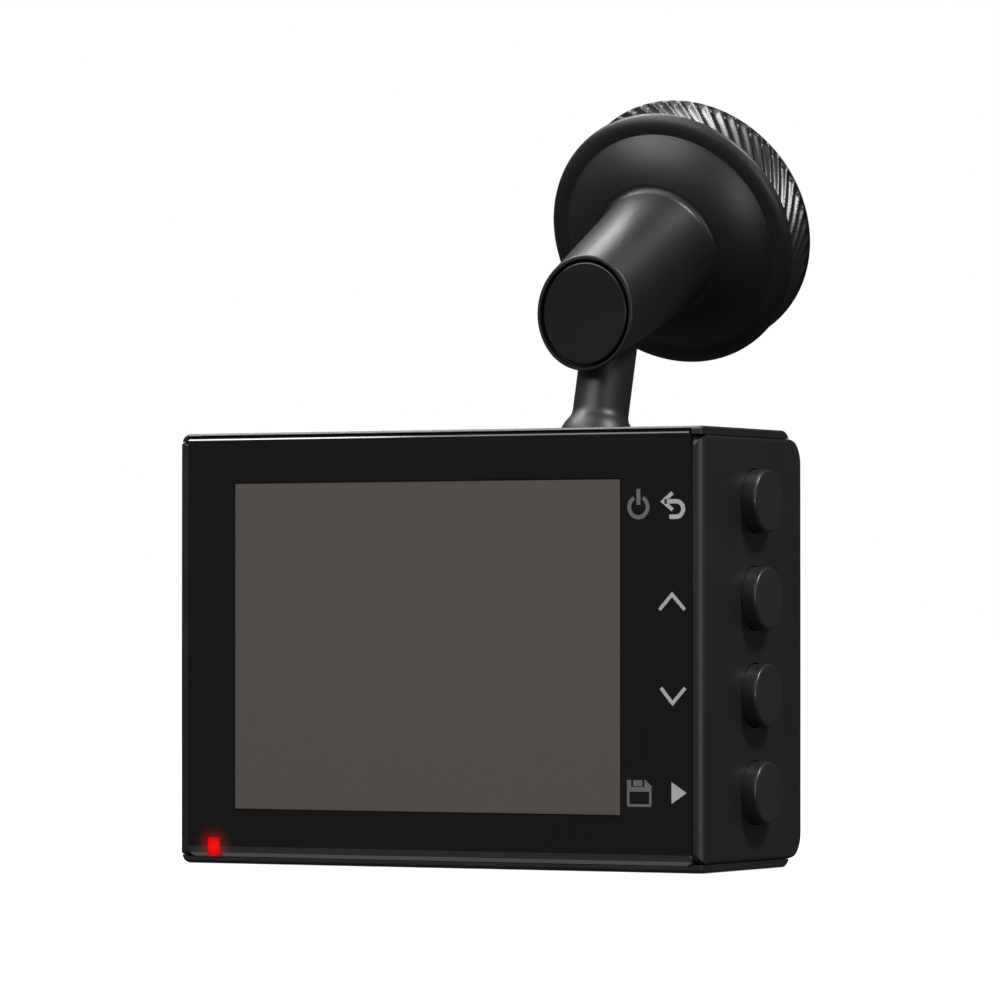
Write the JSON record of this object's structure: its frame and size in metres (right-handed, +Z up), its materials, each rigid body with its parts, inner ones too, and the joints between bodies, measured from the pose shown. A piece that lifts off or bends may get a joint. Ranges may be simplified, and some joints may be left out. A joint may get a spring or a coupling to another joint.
{
  "type": "dash camera",
  "caption": "Compact dash camera with a rear display and side push-buttons, hung by a ball joint from a barrel arm with a knurled lock ring and an adhesive windshield pad.",
  "frame": {"origin": "centre of the adhesive face that sticks to the windshield", "axes": "+Z up, +Y forward along the car, +X to the driver's right; the adhesive face looks forward and 22.5 degrees up"},
  "size_m": [0.0573, 0.0368, 0.0728],
  "materials": {
    "housing": "fine satin black moulding",
    "buttons": "satin black with a softly rounded face edge",
    "mount_plastic": "satin black, fine grain",
    "ring_plastic": "satin black with slanted grip ridges",
    "pad": "black acrylic foam tape",
    "cover_glass": "polished glass printed black around the display",
    "display": "unlit liquid-crystal display behind glass",
    "white_sheet": "white light guide",
    "inner_plastic": "plain black",
    "lens_black": "matt black with fine turned rings",
    "lens_glass": "coated optical glass",
    "steel": "plated steel",
    "circuit_board": "green solder mask",
    "silicon": "sensor under clear glass",
    "battery_wrap": "silver-grey pouch",
    "red_light": "clear red light guide",
    "card": "plain black card"
  },
  "bodies": {
    "base": {"adhesive_pad": "pad", "base_plate": "mount_plastic", "clamp_screw": "steel"},
    "lock_ring": {"lock_ring": "ring_plastic"},
    "arm": {"mount_arm": "mount_plastic", "spring_washer": "steel", "barrel_cap": "mount_plastic"},
    "ball_cup": {"socket_cup": "mount_plastic", "holding_magnet": "steel"},
    "camera": {"main_shell": "housing", "right_end_cap": "housing", "left_end_cap": "housing", "front_cover": "housing", "cover_glass": "cover_glass", "glass_tape": "pad", "display_frame": "inner_plastic", "lcd_panel": "display", "backlight": "white_sheet", "light_pipe": "red_light", "status_led": "red_light", "switches": "inner_plastic", "button_board": "circuit_board", "main_board": "circuit_board", "board_screws": "steel", "processor_shield": "steel", "card_socket": "inner_plastic", "usb_socket": "steel", "battery": "battery_wrap", "speaker": "inner_plastic", "microphone": "inner_plastic", "lens_bezel": "lens_black", "lens_barrel": "lens_black", "front_lens": "lens_glass", "rear_lens": "lens_glass", "lens_holder": "inner_plastic", "sensor_board": "circuit_board", "image_sensor": "silicon", "cover_screws": "steel", "retainer_screws": "steel", "socket_retainer": "steel"},
    "button_select": {"button_select": "buttons"},
    "button_down": {"button_down": "buttons"},
    "button_up": {"button_up": "buttons"},
    "button_back": {"button_back": "buttons"},
    "card": {"memory_card": "card"}
  },
  "joints": [
    {"name": "lock_ring_turn", "type": "hinge", "parent": "base", "child": "lock_ring", "pos_m": [0, 0, 0], "axis": [0, -0.9239, -0.3827], "range_deg": [-60, 0]},
    {"name": "arm_swivel", "type": "hinge", "parent": "base", "child": "arm", "pos_m": [0, 0, 0], "axis": [0, -0.9239, -0.3827], "range_deg": [-35, 35]},
    {"name": "ball_tilt", "type": "hinge", "parent": "arm", "child": "ball_cup", "pos_m": [0, -0.02105, -0.02243], "axis": [1, 0, 0], "range_deg": [-30, 0.5]},
    {"name": "camera_pan", "type": "hinge", "parent": "ball_cup", "child": "camera", "pos_m": [0, -0.02105, -0.02243], "axis": [0, 0, 1], "range_deg": [-45, 45]},
    {"name": "button_select_press", "type": "slide", "parent": "camera", "child": "button_select", "axis": [-1, 0, 0], "range_m": [0, 0.0005], "stiffness_N_per_m": 600},
    {"name": "button_down_press", "type": "slide", "parent": "camera", "child": "button_down", "axis": [-1, 0, 0], "range_m": [0, 0.0005], "stiffness_N_per_m": 600},
    {"name": "button_up_press", "type": "slide", "parent": "camera", "child": "button_up", "axis": [-1, 0, 0], "range_m": [0, 0.0005], "stiffness_N_per_m": 600},
    {"name": "button_back_press", "type": "slide", "parent": "camera", "child": "button_back", "axis": [-1, 0, 0], "range_m": [0, 0.0005], "stiffness_N_per_m": 600},
    {"name": "card_slide", "type": "slide", "parent": "camera", "child": "card", "axis": [0, 0, -1], "range_m": [-0.0007, 0.011]}
  ]
}
